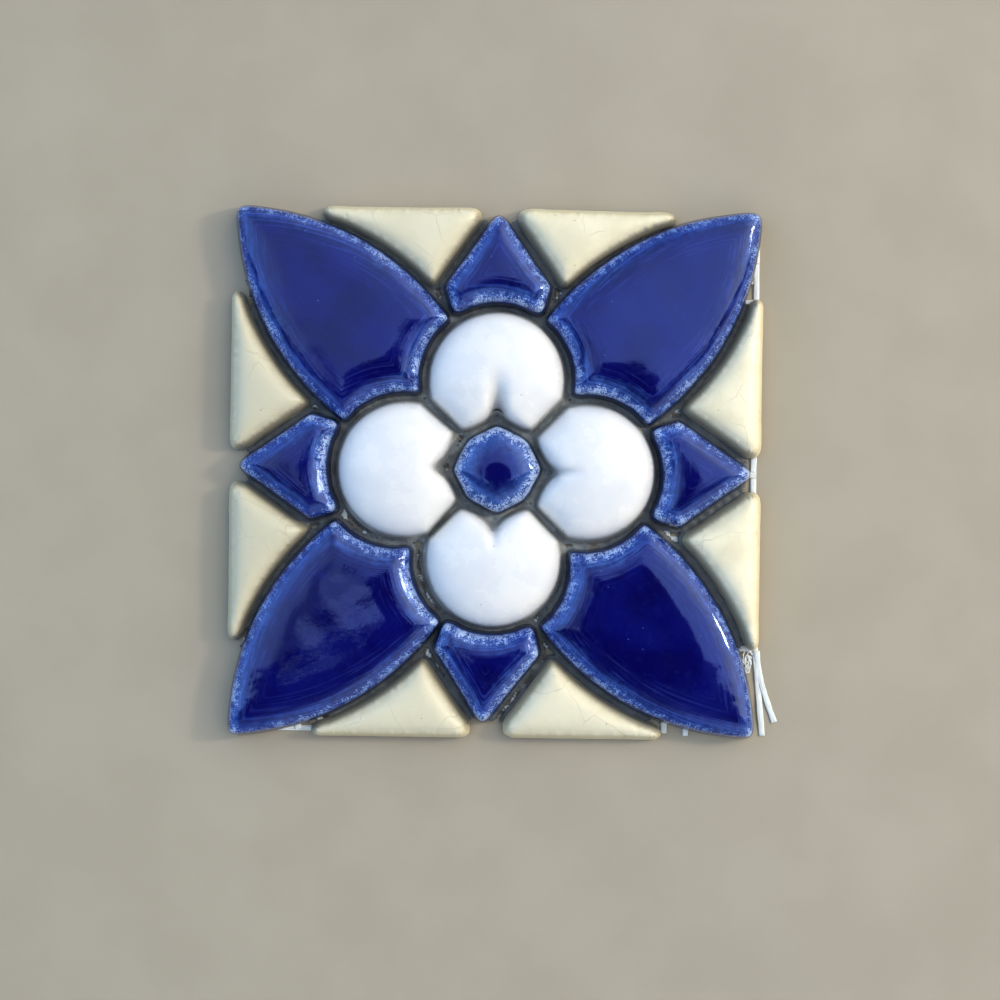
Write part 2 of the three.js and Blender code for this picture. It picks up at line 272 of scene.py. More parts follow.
def within(ring, points):
    """Which points lie inside a closed ring."""
    a, b = ring, np.roll(ring, -1, 0)
    inside = np.zeros(len(points), bool)
    for i in range(0, len(points), BATCH):
        x, y = points[i : i + BATCH, None, 0], points[i : i + BATCH, None, 1]
        spans = (a[:, 1] > y) != (b[:, 1] > y)
        cross = a[:, 0] + (y - a[:, 1]) / (b[:, 1] - a[:, 1] + 1e-15) * (b[:, 0] - a[:, 0])
        inside[i : i + BATCH] = (spans & (x < cross)).sum(1) % 2 == 1
    return inside


def clearance(rings, points):
    """Distance from points to the nearest of some rings, up to a limit; below 0 inside a ring."""
    limit = 4.0
    clear = np.full(len(points), limit)
    for ring in rings:
        near = np.where(((points > ring.min(0) - limit) & (points < ring.max(0) + limit)).all(1))[0]
        if len(near):
            far = to_ring(ring, points[near])[0]
            far[within(ring, points[near])] *= -1
            clear[near] = np.minimum(clear[near], far)
    return clear


def ring_bend(ring):
    """How sharply a ring turns, per millimetre: positive at corners, negative where it is hollow."""
    ahead = np.roll(ring, -1, 0) - ring
    heading = np.arctan2(ahead[:, 1], ahead[:, 0])
    turn = (heading - np.roll(heading, 1) + np.pi) % (2 * np.pi) - np.pi
    return smoothed(turn / SPACING, 1.0 / SPACING)


def thin_glaze(ring, usual, rng):
    """How thin the glaze runs along a ring, from 0 to 1: at corners, on hollow sides, and by chance."""
    bend = ring_bend(ring)
    corner = np.clip((bend - 0.12) / 0.35, 0, 1)
    hollow = np.clip((-bend - 0.03) / 0.05, 0, 1)
    chance = ring_noise(len(ring), 2.2, rng)
    return np.clip(usual + 0.35 * corner + 0.22 * hollow + 0.2 * chance, 0, 1)


# Meshes
def make_mesh(name, points, faces, attributes, material):
    """An object from its points and faces. Attributes are per point, scalars or vectors."""
    mesh = bpy.data.meshes.new(name)
    mesh.from_pydata((np.asarray(points) * MM).tolist(), [], faces)
    mesh.update()
    for key, values in attributes.items():
        values = np.asarray(values, np.float32)
        kind, field = ("FLOAT", "value") if values.ndim == 1 else ("FLOAT_VECTOR", "vector")
        mesh.attributes.new(key, kind, "POINT").data.foreach_set(field, values.ravel())
    mesh.polygons.foreach_set("use_smooth", np.ones(len(mesh.polygons), bool))
    mesh.materials.append(material)
    made = bpy.data.objects.new(name, mesh)
    bpy.context.scene.collection.objects.link(made)
    return made


def sharpen(made, first, count):
    """Marks the edges between neighbours of one ring of points as sharp."""
    mesh = made.data
    pairs = np.empty(len(mesh.edges) * 2, int)
    mesh.edges.foreach_get("vertices", pairs)
    pairs = pairs.reshape(-1, 2)
    inside = ((pairs >= first) & (pairs < first + count)).all(1)
    mesh.attributes.new("sharp_edge", "BOOLEAN", "EDGE").data.foreach_set("value", inside)


def band(low, high):
    """Faces that join two rings of points."""
    corners = zip(low, np.roll(low, -1), np.roll(high, -1), high)
    return [tuple(int(corner) for corner in face) for face in corners]


# Tiles
def rolled(share):
    """Height of a rolled rim, from 0 to 1, at a share of the roll's width."""
    outward, upward = 2.2, 2.0
    return (1 - (1 - np.clip(share, 0, 1)) ** outward) ** (1 / upward)


def rim_rings(outline, roll):
    """Rings of points on the rolled rim, closer together towards the outline."""
    tolerance = 0.02
    normals = ring_normals(outline)
    rings = []
    for k, share in enumerate(RING_SHARES):
        inset = SHOULDER + roll * share
        ring = (outline - normals * inset)[(k % 2) :: 1 if share < DENSE_SHARE else 2]
        far = to_ring(outline, ring)[0]
        rings.append(ring[(far > inset - tolerance) & within(outline, ring)])
    return rings


def inner_grid(outline, inset, rng):
    """A triangular grid of points, shaken a little, well inside an outline."""
    low, high = outline.min(0), outline.max(0)
    columns = np.arange(low[0], high[0], GRID_STEP)
    rows = np.arange(low[1], high[1], GRID_STEP * 0.866)
    grid = np.array([(x + (j % 2) * GRID_STEP / 2, y) for j, y in enumerate(rows) for x in columns])
    grid += rng.uniform(-0.05, 0.05, grid.shape)
    grid = grid[within(outline, grid)]
    return grid[to_ring(outline, grid)[0] > inset]


def relaxed(z, faces, hold):
    """Heights drawn towards the mean of their neighbours, as far as each point gives way."""
    pairs = np.array([(face[i], face[(i + 1) % 3]) for face in faces for i in range(3)])
    for _ in range(RELAX_TIMES):
        total, number = np.zeros(len(z)), np.zeros(len(z))
        np.add.at(total, pairs[:, 0], z[pairs[:, 1]])
        np.add.at(number, pairs[:, 0], 1)
        z = z + 0.5 * hold * (total / np.maximum(number, 1) - z)
    return z


def rolled_top(outline, shoulder, kind, rng):
    """A tile's top whose rim rolls over by distance from the outline, filled with even triangles."""
    roll = kind["roll"]
    inner_inset = SHOULDER + roll * RING_SHARES[-1] + 0.3
    flat = np.vstack([shoulder, *rim_rings(outline, roll), inner_grid(outline, inner_inset, rng)])
    count = len(shoulder)
    loop = [(i, (i + 1) % count) for i in range(count)]
    made = delaunay_2d_cdt([Vector(point) for point in flat], loop, [], 1, 1e-6)
    xy = np.array([(point.x, point.y) for point in made[0]])
    faces = [tuple(face) for face in made[2]]
    rim = np.empty(count, int)
    for i, given in enumerate(made[3]):
        for source in given:
            if source < count:
                rim[source] = i
    far, which = to_ring(outline, xy)
    depth = far - SHOULDER
    z = (kind["height"] - kind["crown"] - kind["wall"]) * rolled(depth / roll)
    rise = np.clip(depth / min(CROWN_REACH, depth.max()), 0, 1)
    z += kind["crown"] * rise * rise * (3 - 2 * rise)

    # faint ripples that follow the rim
    fade = np.exp(-(((depth - 5.0) / 2.6) ** 2))
    z += 0.006 * np.sin(3.1 * depth + rng.uniform(0, 6)) * fade
    z = relaxed(z, faces, np.clip(depth / 0.9, 0, 1))
    return xy, kind["wall"] + z, faces, rim, depth, which


def domed_top(shoulder, kind, middle):
    """A tile's top whose rings draw in to its middle, each rounder than the one outside it."""
    count = len(shoulder)
    arms = shoulder - middle
    climb = kind["height"] - kind["wall"]
    points, heights, depth = [shoulder], [np.full(count, kind["wall"])], [np.zeros(count)]
    faces = []
    for j in range(1, DOME_RINGS):
        angle = math.pi / 2 * j / DOME_RINGS
        share = math.cos(angle) ** (2 / kind["dome"])
        if share < 0.995:
            ring = middle + smoothed(arms, 0.5 + 0.16 * count * (1 - share) ** 1.3) * share
        else:
            ring = middle + arms * share
        points.append(ring)
        heights.append(np.full(count, kind["wall"] + climb * math.sin(angle)))
        run = np.linalg.norm(ring - points[-2], axis=1)
        depth.append(depth[-1] + np.hypot(run, (heights[-1] - heights[-2]) * 0.4))
        faces += band((j - 1) * count + np.arange(count), j * count + np.arange(count))
    tip = DOME_RINGS * count
    last = tip - count
    faces += [(last + i, last + (i + 1) % count, tip) for i in range(count)]
    xy = np.vstack([*points, middle[None]])
    z = np.concatenate([*heights, [kind["height"]]])
    far = np.concatenate([*depth, [depth[-1].max()]])
    which = np.concatenate([np.tile(np.arange(count), DOME_RINGS), [0]])
    return xy, z, faces, np.arange(count), far, which


def tile_outline(name):
    """A tile's outline, drawn in a little and unevenly from its solid's foot, with its random numbers."""
    rng = np.random.default_rng(sum(ord(c) * (i + 3) for i, c in enumerate(name)))
    outline = smooth_ring(foot_outline(name))
    count = len(outline)
    drawn = 0.07 + 0.06 * ring_noise(count, 4, rng) + 0.02 * ring_noise(count, 1, rng)
    if name == "centre_boss":
        bearing = np.arctan2(*(outline - outline.mean(0)).T[::-1])
        drawn = drawn + 0.13 * (1 - np.cos(8 * bearing))
    outline = outline - ring_normals(outline) * np.clip(drawn, 0, None)[:, None]
    low, high = box_of(name)
    return np.clip(outline, low[:2], high[:2]), rng


def hills_and_tilt(name, kind, offset, depth, rng):
    """Slow hills left by the hand, and the tilt of the face, at offsets from the tile's middle."""
    phase = rng.uniform(0, 2 * np.pi, 6)
    east, north = offset.T
    hills = (
        np.sin(east * 0.33 + phase[0]) * np.cos(north * 0.29 + phase[1])
        + 0.6 * np.sin(east * 0.61 + north * 0.47 + phase[2])
        + 0.35 * np.sin(north * 0.93 - east * 0.38 + phase[3])
    )
    swell = 0.016 if "roll" in kind else 0.01
    rise_east, rise_north = [math.tan(math.radians(angle)) for angle in FACE_TILT.get(name, (0, 0))]
    return np.clip(depth / 3, 0, 1) * (swell * hills + (east * rise_east + north * rise_north))


def crease(name, outline, middle, xy, depth):
    """How deep the valley from a petal's notch is at each point, and how strong the painted shade in it
    is.
    """
    deep, length, half_width, soiled = CREASES[name]
    notch = outline[ring_bend(outline).argmin()]
    inward = (middle - notch) / np.linalg.norm(middle - notch)
    run = (xy - notch) @ inward
    aside = (xy - notch) @ np.array([-inward[1], inward[0]])
    fade = np.clip(1 - run / length, 0, 1)
    valley = np.exp(-((aside / (half_width + 0.09 * np.clip(run, 0, None))) ** 2))
    drop = deep * (fade**1.7 * np.clip(depth / 0.8, 0, 1)) * valley
    return drop, soiled * fade**2 * valley


def tile(name, outlines, panel, rng, glazes):
    """One glazed tile: its top, its walls and its flat foot.

    Each point stores its rim (place along the outline, depth in from it, height above the net) and
    its wear and painted shade (how thin the glaze is; how close the next tile is, which sets the painted
    shade by the joints; and the painted shade of a cream tile, the painted shade in a petal's crease
    and the calm of the boss's rim).
    """
    kind = TILE_KINDS["boss" if name == "centre_boss" else name.split("_")[0]]
    outline = outlines[name]
    count = len(outline)
    joint = clearance([ring for other, ring in outlines.items() if other != name], outline)
    normals = ring_normals(outline)
    shoulder = outline - normals * SHOULDER
    middle = outline.mean(0)
    if name.startswith("petal"):
        middle = PETAL_SUMMIT * middle / np.linalg.norm(middle)
    elif name == "centre_boss":
        middle = middle + BOSS_SUMMIT
    if "roll" in kind:
        xy, z, faces, rim, depth, which = rolled_top(outline, shoulder, kind, rng)
    else:
        xy, z, faces, rim, depth, which = domed_top(shoulder, kind, middle)
    z = z + hills_and_tilt(name, kind, xy - middle, depth, rng)
    # painted shade of a cream tile, and the calm of the boss's rim
    tone = np.full(len(z), TILE_SHADE_AND_CALM.get(name, 0.0))
    if "roll" in kind:
        on_rim = np.clip(1 - np.abs(depth - 1.3) / 1.3, 0, 1)
        z = z + kind["lumps"] * (ring_noise(count, 1.5, rng)[which] * on_rim)
    # a petal's crease: a real valley, with painted shade in it
    if name in CREASES:
        drop, tone = crease(name, outline, middle, xy, depth)
        z = z - drop
    if "dome" in kind:
        z = np.minimum(z, kind["height"])

    # the walls lean out to the foot as far as the joint has room
    wall = kind["wall"]
    flare = smoothed(np.minimum(kind["flare"], 0.36 * joint), 0.8 / SPACING)
    thin = thin_glaze(outline, kind["thin"], rng)
    # painted shade by the joints: the closer the next tile, the darker the rim
    shade_near_joint = np.clip((3.2 - joint) / 1.6, 0, 1)
    points = [np.column_stack([xy, z + NET_TOP])]
    rims = [np.column_stack([which * SPACING, depth, z])]
    wear_and_shade_rings = [np.column_stack([thin[which], shade_near_joint[which], tone])]
    for lean_out, length, share in WALL_RINGS:
        height = length + share * wall
        level = np.full(count, height)
        ragged = 0.08 * ring_noise(count, 0.8, rng) if 0.1 < height < 1 else 0
        ring = np.clip(outline + normals * (lean_out * flare)[:, None], *panel)
        points.append(np.column_stack([ring, NET_TOP + level + ragged]))
        rims.append(np.column_stack([np.arange(count) * SPACING, level - wall, level]))
        wear_and_shade_rings.append(np.column_stack([thin, shade_near_joint, np.full(count, tone[rim].mean())]))
    rings = [len(xy) + r * count + np.arange(count) for r in range(len(WALL_RINGS))]
    for low, high in zip(rings, [*rings[1:], rim]):
        faces += band(low, high)
    faces.append(tuple(rings[0][::-1].tolist()))
    attributes = {"rim": np.vstack(rims), "wear_and_shade": np.vstack(wear_and_shade_rings)}
    made = make_mesh(f"glazed_{name}", np.vstack(points), faces, attributes, glazes[kind["slot"]])
    sharpen(made, len(xy), count)
    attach(made, "root")
    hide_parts(name)


# Net and glue
def strand_tube(path, width, thick, rng):
    """Points, faces and running coordinates of a flat strand that spreads a little at its end."""
    count = len(path)
    ahead = np.gradient(path, axis=0)
    ahead /= np.linalg.norm(ahead, axis=1)[:, None]
    side = np.column_stack([-ahead[:, 1], ahead[:, 0], np.zeros(count)])
    side /= np.linalg.norm(side, axis=1)[:, None]
    along = np.concatenate([[0], np.cumsum(np.linalg.norm(np.diff(path, axis=0), axis=1))])
    knots = 24
    uneven = np.interp(along, np.linspace(0, along[-1], knots), rng.uniform(-1, 1, knots))
    wide = width * (1 + 0.1 * uneven)
    wide *= 1 + 0.12 * np.exp(-((along[-1] - along) / 1.2))
    points, running = [], []
    for across, up in STRAND_SECTION:
        points.append(path + side * (across * wide)[:, None] + np.array([0, 0, up * thick]))
        running.append(np.column_stack([along, np.full(count, across * width), np.full(count, up)]))
    points = np.stack(points, 1).reshape(-1, 3)
    running = np.stack(running, 1).reshape(-1, 3)
    sides = len(STRAND_SECTION)
    rings = [i * sides + np.arange(sides) for i in range(count)]
    faces = []
    for low, high in zip(rings, rings[1:]):
        faces += band(low, high)
    faces.append(tuple(rings[0][::-1].tolist()))
    faces.append(tuple(rings[-1].tolist()))
    return points, faces, running


def woven(fixed, first, last, swing, index, rng):
    """Places along a strand, places across it and heights, as it passes the crossings over and under."""
    steps = 6
    knots = 9
    along = np.append(np.arange(first, last, PITCH / steps), last)
    drift = np.interp(along, np.linspace(-50, 50, knots), rng.uniform(-0.16, 0.16, knots))
    height = 0.25 + swing * np.cos(np.pi * (along / PITCH + index))
    return along, fixed + drift, height


def net_strands(low, high, rng):
    """The path and the width of each strand: rows, columns, the loose strand and its tangle."""
    west, south, north = low[0], low[1], high[1]
    east = OUTER_LINE * PITCH + 0.6
    swing = 0.11
    strands = []
    for k in range(-OUTER_LINE, OUTER_LINE):
        start = west + rng.uniform(0.0, 1.3)
        end = min(east - rng.uniform(0.0, 0.5), ROW_ENDS.get(k, east))
        x, y, z = woven(k * PITCH, start, end, swing, k, rng)
        strands.append((np.column_stack([x, y, z]), STRAND_WIDTH))
    for k in range(1 - OUTER_LINE, OUTER_LINE + 1):
        end = north - rng.uniform(0.0, 1.2)
        start = max(south + rng.uniform(0.02, 0.5), MIDDLE_COLUMNS_START if abs(k) < 2 else south)
        y, x, z = woven(k * PITCH, start, end, -swing, k, rng)
        if k == OUTER_LINE:
            x = x + 2.2 * np.clip((-y - 22) / 27, 0, 1) ** 1.3
        strands.append((np.column_stack([x, y, z]), STRAND_WIDTH))

    samples = 26
    a, b, c, d = np.array(LOOSE_STRAND)
    t = np.linspace(0, 1, samples)[:, None]
    loose = (1 - t) ** 3 * a + 3 * t * (1 - t) ** 2 * b + 3 * t**2 * (1 - t) * c + t**3 * d
    strands.append((loose, LOOSE_WIDTH))
    for _ in range(FILAMENTS):
        turn = np.linspace(0, rng.uniform(2.5, 5.0), samples) + rng.uniform(0, 6)
        reach = np.linspace(0.85, 0.3, samples) * rng.uniform(0.6, 1.2)
        x = TANGLE[0] + rng.uniform(-0.3, 0.3) + 0.8 * reach * np.cos(turn)
        y = TANGLE[1] + rng.uniform(-1.0, 1.0) + 1.5 * reach * np.sin(turn)
        strands.append((np.column_stack([x, y, np.linspace(0.3, 0.47, samples)]), FILAMENT_WIDTH))
    return strands


def net(material):
    """Rows and columns woven over and under each other, cut unevenly, with one strand frayed loose."""
    rng = np.random.default_rng(408)
    low, high = box_of("fibreglass_net")
    points, faces, running = [], [], []
    total = 0
    for path, width in net_strands(low, high, rng):
        tube, tube_faces, tube_running = strand_tube(path, width, min(STRAND_THICKNESS, width), rng)
        points.append(tube)
        running.append(tube_running)
        faces += [tuple(i + total for i in face) for face in tube_faces]
        total += len(tube)
    points = np.clip(np.vstack(points), [low[0], low[1], 0.0], high)
    made = make_mesh("woven_net", points, faces, {"strand": np.vstack(running)}, material)
    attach(made, "root")
    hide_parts("fibreglass_net")


def glue_plan(outlines, rng):
    """Points and triangles of the glue, seen from above, with each point's distance to a tile."""
    rings = [ring[::2] for ring in outlines.values()]
    loops, base = [], 0
    for ring in rings:
        loops += [(base + i, base + (i + 1) % len(ring)) for i in range(len(ring))]
        base += len(ring)
    lines = np.arange(-48.5, 48.5, 0.45)
    grid = np.stack(np.meshgrid(lines, lines), -1).reshape(-1, 2)
    grid += rng.uniform(-0.08, 0.08, grid.shape)
    gap = clearance(rings, grid)
    flat = np.vstack([*rings, grid[(gap > 0.16) & (gap < 1.6)]])
    made = delaunay_2d_cdt([Vector(point) for point in flat], loops, [], 0, 1e-6)
    xy = np.array([(point.x, point.y) for point in made[0]])
    faces = np.array([face for face in made[2] if len(face) == 3])

    # it stays beside the tiles, ends unevenly before the panel's edge and leaves the tangle free
    east, north = xy[faces].mean(1).T
    near = clearance(rings, np.column_stack([east, north]))
    end = 47.0 + 0.5 * np.sin((east + north) * 0.9) + 0.4 * np.sin((east - north) * 2.1)
    off_tangle = np.hypot(east - TANGLE[0], 0.6 * (north - TANGLE[1])) > 1.7
    inside = np.maximum(np.abs(east), np.abs(north)) < end
    faces = faces[(near > 0) & (near < 1.1) & inside & off_tangle]
    used, index = np.unique(faces, return_inverse=True)
    xy = xy[used]
    return xy, index.reshape(-1, 3), np.abs(clearance(rings, xy))


def glue(outlines, material):
    """Dried glue with earth in it, in the joints, climbing a little up the tiles' walls."""
    xy, faces, gap = glue_plan(outlines, np.random.default_rng(77))
    count = len(xy)
    wave = 0.12 * np.sin(xy[:, 0] * 1.1 + 0.7) * np.cos(xy[:, 1] * 0.9) + 0.08 * np.sin(xy.sum(1) * 2.3)
    top = 0.75 + wave + 0.6 * np.exp(-gap / 0.3)
    bottom = np.full(count, 0.12)
    points = np.vstack([np.column_stack([xy, top]), np.column_stack([xy, bottom])])
    upper = [tuple(face) for face in faces.tolist()]
    lower = [tuple(i + count for i in reversed(face)) for face in upper]
    edges = {(face[i], face[(i + 1) % 3]): True for face in upper for i in range(3)}
    border = [(b, a, a + count, b + count) for a, b in edges if (b, a) not in edges]
    made = make_mesh("dried_glue", points, upper + lower + border, {"gap": np.tile(gap, 2)}, material)
    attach(made, "root")


# Materials
class Nodes:
    """A node tree, with short calls for the nodes that it needs."""

    def __init__(self, tree):
        self.tree = tree
        self.tree.nodes.clear()

    def node(self, kind, inputs=None, **settings):
        """A new node. Its inputs go by name or number, and each is a value or a node's output."""
        made = self.tree.nodes.new("ShaderNode" + kind)
        for key, value in settings.items():
            setattr(made, key, value)
        for key, value in (inputs or {}).items():
            if isinstance(value, bpy.types.NodeSocket):
                self.tree.links.new(value, made.inputs[key])
            else:
                made.inputs[key].default_value = value
        return made

    def math(self, operation, a, b=0.0, c=0.0):
        return self.node("Math", {0: a, 1: b, 2: c}, operation=operation).outputs[0]

    def times(self, product, *others):
        for other in others:
            product = self.math("MULTIPLY", product, other)
        return product

    def plus(self, total, *others):
        for other in others:
            total = self.math("ADD", total, other)
        return total

    def scaled(self, value, factor, offset):
        return self.math("MULTIPLY_ADD", value, factor, offset)

    def waver(self, value, noise, amount):
        """A value moved up and down by a noise about 0.5."""
        return self.math("MULTIPLY_ADD", self.math("SUBTRACT", noise, 0.5), amount, value)

    def ramp(self, value, low, high, start=0.0, end=1.0):
        """A soft step from start to end, as the value goes from low to high."""
        inputs = {"Value": value, "From Min": low, "From Max": high, "To Min": start, "To Max": end}
        return self.node("MapRange", inputs, interpolation_type="SMOOTHSTEP", clamp=True).outputs[0]

    def mix(self, share, first, second):
        """The first colour, with a share of the second."""
        return self.node("Mix", {0: share, 6: first, 7: second}, data_type="RGBA").outputs[2]

    def parts(self, vector):
        return self.node("SeparateXYZ", {0: vector}).outputs


class Paint(Nodes):
    """A material."""

    def __init__(self, name):
        self.material = bpy.data.materials.new(name)
        self.material.use_nodes = True
        super().__init__(self.material.node_tree)

    def noise(self, vector, scale, detail, roughness):
        inputs = {"Vector": vector, "Scale": scale, "Detail": detail, "Roughness": roughness}
        return self.node("TexNoise", inputs).outputs[0]

    def cells(self, vector, scale, feature):
        return self.node("TexVoronoi", {"Vector": vector, "Scale": scale}, feature=feature).outputs

    def position(self):
        """Where a point is on the object, in millimetres."""
        metres = self.node("TexCoord").outputs["Object"]
        return self.node("VectorMath", {0: metres, "Scale": 1 / MM}, operation="SCALE").outputs[0]

    def stored(self, name, output="Vector"):
        """What the mesh stores under a name."""
        return self.node("Attribute", attribute_name=name, attribute_type="GEOMETRY").outputs[output]

    def stretch(self, vector, x, y, z):
        return self.node("VectorMath", {0: vector, 1: (x, y, z)}, operation="MULTIPLY").outputs[0]

    def moved(self, vector, x, y=0.0):
        shift = self.node("CombineXYZ", {0: x, 1: y}).outputs[0]
        return self.node("VectorMath", {0: vector, 1: shift}, operation="ADD").outputs[0]

    def pinholes(self, place, scale, share, size):
        """Small round spots, on a share of the cells of a random pattern."""
        cell = self.cells(place, scale, "F1")
        chance = self.node("SeparateColor", {0: cell["Color"]}).outputs[0]
        picked = self.math("GREATER_THAN", chance, 1 - share)
        return self.times(picked, self.ramp(cell["Distance"], size, size * 0.35))

    def finish(self, colour, rough, height=None, look=None):
        """The material from its colour, its roughness, its relief in millimetres and other inputs."""
        inputs = {"Base Color": colour, "Roughness": rough, **(look or {})}
        if height is not None:
            relief = {"Strength": 1.0, "Distance": MM, "Height": height}
            inputs["Normal"] = self.node("Bump", relief).outputs[0]
        shader = self.node("BsdfPrincipled", inputs)
        self.node("OutputMaterial", {"Surface": shader.outputs[0]})
        return self.material


class Glaze(Paint):
    """The material of a glazed tile, with what its points store."""

    def __init__(self, name):
        super().__init__(name)
        self.place = self.position()
        self.rim = self.stored("rim")
        self.depth, self.level = self.parts(self.rim)[1:]
        self.thin, self.soil, self.tone = self.parts(self.stored("wear_and_shade"))

    def fire(self, colour, rough, height, look, ragged, soil_colour, soil_reach):
        """The finished glaze, with painted shade where a joint is close and bare clay at the foot."""
        grain = self.noise(self.place, 2.2, 5.0, 0.65)
        # painted shade on the rim and the walls where the next tile is close
        edge = self.ramp(self.waver(self.depth, grain, 0.7), soil_reach, -0.5)
        colour = self.mix(self.times(edge, self.soil, 0.75), colour, soil_colour)
        bare = self.ramp(self.waver(self.level, ragged, 0.9), 0.7, 0.4)
        colour = self.mix(bare, colour, self.mix(self.ramp(grain, 0.35, 0.68), *CLAY))
        height = self.plus(height, self.times(grain, bare, 0.12))
        rough = self.math("MAXIMUM", rough, self.times(bare, 0.85))
        return self.finish(colour, rough, height, look)


def rgb(*display):
    """A linear colour from display values of 0 to 255."""
    linear = [((c / 255 + 0.055) / 1.055) ** 2.4 if c > 10 else c / 255 / 12.92 for c in display]
    return (*linear, 1.0)


# Colours; a pair holds the two ends of a range
CLAY = (rgb(128, 114, 94), rgb(176, 162, 138))
COBALT = {
    "body": ((0.0014, 0.0011, 0.052, 1), (0.0022, 0.0026, 0.086, 1)),
    "veil": (0.009, 0.014, 0.15, 1),
    "pool": (rgb(36, 68, 146), rgb(78, 124, 202)),
    "rings": (0.03, 0.05, 0.28, 1),
    "pale specks": (rgb(118, 146, 196), rgb(190, 206, 226)),
    "dark specks": rgb(20, 28, 92),
    "line": (0.0014, 0.0014, 0.04, 1),
    "pinholes": rgb(120, 134, 190),
    "wall": rgb(12, 18, 56),
    # painted shade on the walls by close joints
    "soil": rgb(40, 46, 56),
}
WHITE = {
    "body": (rgb(210, 209, 207), rgb(220, 217, 210)),
    "mottle": rgb(198, 204, 212),
    # painted shade on the petals' rounded edges, together with thin glaze
    "edge": rgb(156, 156, 150),
    # painted shade in the petals' creases
    "valley": rgb(104, 110, 114),
    "pinholes": rgb(120, 112, 104),
    # painted shade on the rims by close joints
    "soil": rgb(104, 106, 102),
}
CREAM = {
    "body": (rgb(214, 202, 166), rgb(229, 217, 182)),
    "mottle": rgb(194, 184, 152),
    # painted shade for whole cream tiles that get less light
    "painted tile shade": rgb(188, 181, 152),
    "edge": rgb(196, 178, 134),
    "craze": rgb(158, 142, 112),
    "pinholes": rgb(120, 104, 82),
    # painted shade on the rims by close joints
    "soil": rgb(104, 104, 98),
}
FIBRE = {"threads": (rgb(196, 204, 200), rgb(238, 240, 234)), "stain": rgb(206, 204, 178)}
GLUE = {
    "body": (rgb(98, 102, 100), rgb(146, 150, 146)),
    "earth": rgb(112, 94, 76),
    "grain": rgb(160, 164, 156),
    "outer joints": rgb(62, 66, 68),
    # painted shade against the tiles' walls
    "corner": rgb(28, 32, 36),
}
FLOOR = (rgb(154, 143, 122), rgb(159, 148, 127))


def cobalt_glaze():
    """Deep blue glaze that runs thin, pale and speckled over the rims."""
    paint = Glaze("cobalt_glaze")
    place, depth, thin, tone = paint.place, paint.depth, paint.thin, paint.tone
    cloud = paint.noise(place, 0.11, 3.0, 0.5)
    colour = paint.mix(paint.ramp(cloud, 0.35, 0.66), *COBALT["body"])
    veil = paint.noise(place, 0.9, 4.0, 0.6)
    colour = paint.mix(paint.ramp(veil, 0.52, 0.8, 0.0, 0.25), colour, COBALT["veil"])

    # what the brush left: blotches, grit of fine spots and short strokes, and rings along the rim
    blotch = paint.noise(place, 0.8, 3.0, 0.6)
    fine = paint.noise(place, 3.2, 3.0, 0.7)
    strokes = paint.noise(paint.stretch(paint.rim, 2.6, 0.5, 0.0), 1.0, 2.0, 0.6)
    grit = paint.plus(paint.times(fine, 0.66), paint.times(strokes, 0.34))
    ringed = paint.moved(paint.stretch(place, 0.14, 0.14, 0.0), paint.times(depth, 1.9))
    rings = paint.noise(ringed, 1.3, 3.0, 0.6)
    rings_mean = 0.52
    contrast = paint.scaled(tone, -0.8, 1.0)
    rings = paint.scaled(paint.math("SUBTRACT", rings, rings_mean), contrast, rings_mean)

    # over the rim lies a paler blue that deepens inwards
    width = paint.waver(paint.scaled(thin, 2.1, 0.9), blotch, 2.6)
    pool = paint.times(
        paint.ramp(depth, paint.plus(width, paint.scaled(tone, 1.1, 1.8)), 0.6),
        paint.ramp(rings, 0.36, 0.66, 0.3, 1.0),
        paint.ramp(blotch, 0.34, 0.6, 0.55, 1.05),
        paint.scaled(tone, -0.2, 0.85),
    )
    colour = paint.mix(pool, colour, paint.mix(paint.ramp(thin, 0.4, 0.95), *COBALT["pool"]))
    ring_lines = paint.times(paint.ramp(rings, 0.5, 0.68), paint.ramp(depth, 8.0, 2.5), 0.34)
    colour = paint.mix(ring_lines, colour, COBALT["rings"])

    # pale and dark specks where it is thinnest
    inner = paint.ramp(depth, width, 0.1)
    rim_band = paint.times(inner, paint.ramp(depth, -0.05, 0.35))
    speckled = paint.ramp(rim_band, 0.04, 0.4)
    thinness = paint.times(inner, paint.scaled(thin, 0.12, 0.08))
    thinness = paint.plus(thinness, paint.ramp(blotch, 0.34, 0.62, -0.07, 0.05))
    thinness = paint.scaled(tone, 0.012, thinness)
    pale = paint.times(paint.ramp(paint.plus(grit, thinness), 0.58, 0.72), speckled)
    pale_colour = paint.mix(paint.ramp(thin, 0.45, 0.95), *COBALT["pale specks"])
    colour = paint.mix(paint.times(pale, paint.scaled(tone, -0.14, 0.74)), colour, pale_colour)
    dark = paint.times(paint.ramp(grit, 0.47, 0.36), speckled, 0.75)
    colour = paint.mix(dark, colour, COBALT["dark specks"])

    # a dark line behind the specks, pinholes, and walls in shade
    line = paint.times(
        paint.ramp(depth, width, paint.plus(width, 0.35)),
        paint.ramp(depth, 4.0, 2.4),
        paint.ramp(rings, 0.62, 0.4),
        paint.ramp(tone, 0.8, 0.2),
        0.35,
    )
    colour = paint.mix(line, colour, COBALT["line"])
    holes = paint.pinholes(place, 0.75, 0.12, 0.09)
    colour = paint.mix(paint.times(holes, 0.5), colour, COBALT["pinholes"])
    colour = paint.mix(paint.times(paint.ramp(depth, 0.3, -0.35), 0.85), colour, COBALT["wall"])
    height = paint.plus(
        paint.times(paint.noise(place, 0.8, 2.0, 0.5), 0.005),
        paint.times(rings, paint.ramp(depth, 6.5, 1.5), 0.04),
        paint.times(grit, rim_band, 0.07),
        paint.times(holes, -0.03),
    )
    rough = paint.plus(paint.ramp(veil, 0.3, 0.7, 0.03, 0.07), paint.times(pale, 0.12))
    look = {"IOR": 1.75, "Specular Tint": (0.42, 0.55, 1.0, 1.0)}
    return paint.fire(colour, rough, height, look, strokes, COBALT["soil"], -0.1)


